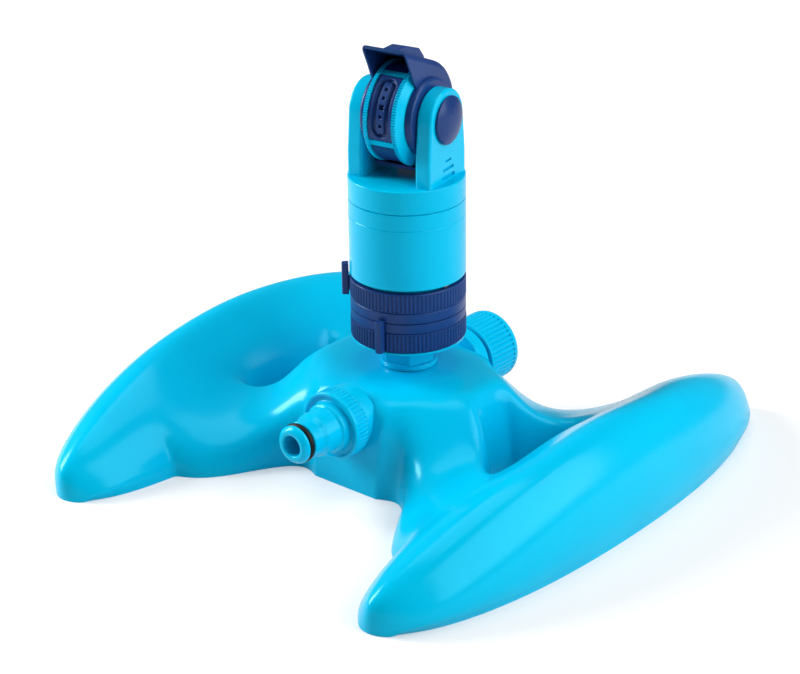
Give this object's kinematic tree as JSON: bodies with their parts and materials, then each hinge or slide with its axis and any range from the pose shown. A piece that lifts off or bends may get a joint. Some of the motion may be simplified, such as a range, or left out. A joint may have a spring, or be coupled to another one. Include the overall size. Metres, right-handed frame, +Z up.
{
  "type": "rotary garden sprinkler",
  "caption": "Gear-driven rotary sprinkler: fork head with a turning pattern drum and tilting hood, arc collars, and a two-runner base with a hose nipple and end cap.",
  "frame": {"origin": "on the ground, under the axis that the head turns about", "axes": "+Z up along the head's axis; Y along the water pipe and the runners, with the hose nipple towards -Y and the end cap towards +Y; +X towards the right runner seen from the hose"},
  "size_m": [0.2436, 0.2564, 0.1904],
  "materials": {
    "cyan_plastic": "glossy moulded ABS, cyan blue",
    "navy_plastic": "satin moulded ABS, dark navy blue",
    "black_rubber": "matt black sealing rubber",
    "white_acetal": "natural white acetal",
    "plain_steel": "plain stainless screw"
  },
  "bodies": {
    "base": {"base_shell": "cyan_plastic", "inlet_strainer": "white_acetal", "riser": "cyan_plastic", "riser_seal": "black_rubber", "collar_hub": "cyan_plastic", "fixed_sun_gear": "white_acetal"},
    "inlet_seal": {"inlet_washer": "black_rubber"},
    "inlet_nut": {"inlet_connector": "cyan_plastic", "inlet_o_ring": "black_rubber"},
    "outlet_seal": {"outlet_washer": "black_rubber"},
    "outlet_screw_cap": {"outlet_cap": "cyan_plastic"},
    "lower_collar": {"lower_arc_collar": "navy_plastic"},
    "upper_collar": {"upper_arc_collar": "navy_plastic"},
    "head": {"gear_housing": "cyan_plastic", "housing_seal": "black_rubber", "jet_cup": "white_acetal", "lower_gear_plate": "white_acetal", "upper_gear_plate": "white_acetal", "gear_plate_screw_1": "plain_steel", "gear_plate_screw_2": "plain_steel", "gear_plate_screw_3": "plain_steel", "fork_head": "cyan_plastic", "drum_axle": "white_acetal", "right_hub_cap": "navy_plastic", "left_hub_cap": "navy_plastic"},
    "output_wheel": {"output_gear": "white_acetal"},
    "compound_wheel": {"compound_gear": "white_acetal"},
    "turbine_wheel": {"turbine": "white_acetal"},
    "trip": {"trip_lever": "navy_plastic"},
    "drum": {"drum_frame": "cyan_plastic", "jet_row_nozzle_plate": "navy_plastic", "shower_nozzle_plate": "navy_plastic", "cone_nozzle_plate": "navy_plastic", "fan_nozzle_plate": "navy_plastic"},
    "hood_cover": {"hood": "navy_plastic"}
  },
  "joints": [
    {"name": "inlet_screw_travel", "type": "slide", "parent": "base", "child": "inlet_seal", "axis": [0, -1, 0], "range_m": [0, 0.00726]},
    {"name": "inlet_screw_turn", "type": "hinge", "parent": "inlet_seal", "child": "inlet_nut", "pos_m": [0, -0.05, 0.0325], "axis": [0, -1, 0], "range_deg": [0, 1440]},
    {"name": "outlet_screw_travel", "type": "slide", "parent": "base", "child": "outlet_seal", "axis": [0, 1, 0], "range_m": [0, 0.0164]},
    {"name": "outlet_screw_turn", "type": "hinge", "parent": "outlet_seal", "child": "outlet_screw_cap", "pos_m": [0, 0.05, 0.0325], "axis": [0, 1, 0], "range_deg": [0, 3240]},
    {"name": "lower_collar_turn", "type": "hinge", "parent": "base", "child": "lower_collar", "pos_m": [0, 0, 0.0655], "axis": [0, 0, 1], "range_deg": [-138, 50]},
    {"name": "upper_collar_turn", "type": "hinge", "parent": "base", "child": "upper_collar", "pos_m": [0, 0, 0.079], "axis": [0, 0, 1], "range_deg": [-50, 138]},
    {"name": "head_spin", "type": "hinge", "parent": "base", "child": "head", "pos_m": [0, 0, 0.09], "axis": [0, 0, 1], "range_deg": [-138, 138]},
    {"name": "output_gear_spin", "type": "hinge", "parent": "head", "child": "output_wheel", "pos_m": [-0.01161, -0.00628, 0.1], "axis": [0, 0, 1], "range_deg": [-414, 414]},
    {"name": "compound_gear_spin", "type": "hinge", "parent": "head", "child": "compound_wheel", "pos_m": [-0.00303, -0.00826, 0.107], "axis": [0, 0, 1], "range_deg": [-1242, 1242]},
    {"name": "turbine_spin", "type": "hinge", "parent": "head", "child": "turbine_wheel", "pos_m": [0, 0, 0.1], "axis": [0, 0, 1], "range_deg": [-3726, 3726]},
    {"name": "trip_lever_swing", "type": "hinge", "parent": "head", "child": "trip", "pos_m": [0.01419, -0.00039, 0.09], "axis": [0, 0, 1], "range_deg": [-12, 12]},
    {"name": "drum_turn", "type": "hinge", "parent": "head", "child": "drum", "pos_m": [0, 0, 0.1581], "axis": [0.9892, 0.1466, 0], "continuous": true},
    {"name": "hood_tilt", "type": "hinge", "parent": "head", "child": "hood_cover", "pos_m": [0, 0, 0.1581], "axis": [0.9892, 0.1466, 0], "range_deg": [-15, 40]}
  ],
  "couplings": [
    {"joint": "inlet_screw_travel", "follows": "inlet_screw_turn", "m_per_rad": 0.00028871},
    {"joint": "outlet_screw_travel", "follows": "outlet_screw_turn", "m_per_rad": 0.00028871},
    {"joint": "output_gear_spin", "follows": "head_spin", "ratio": 3},
    {"joint": "compound_gear_spin", "follows": "head_spin", "ratio": -9},
    {"joint": "turbine_spin", "follows": "head_spin", "ratio": 27}
  ]
}
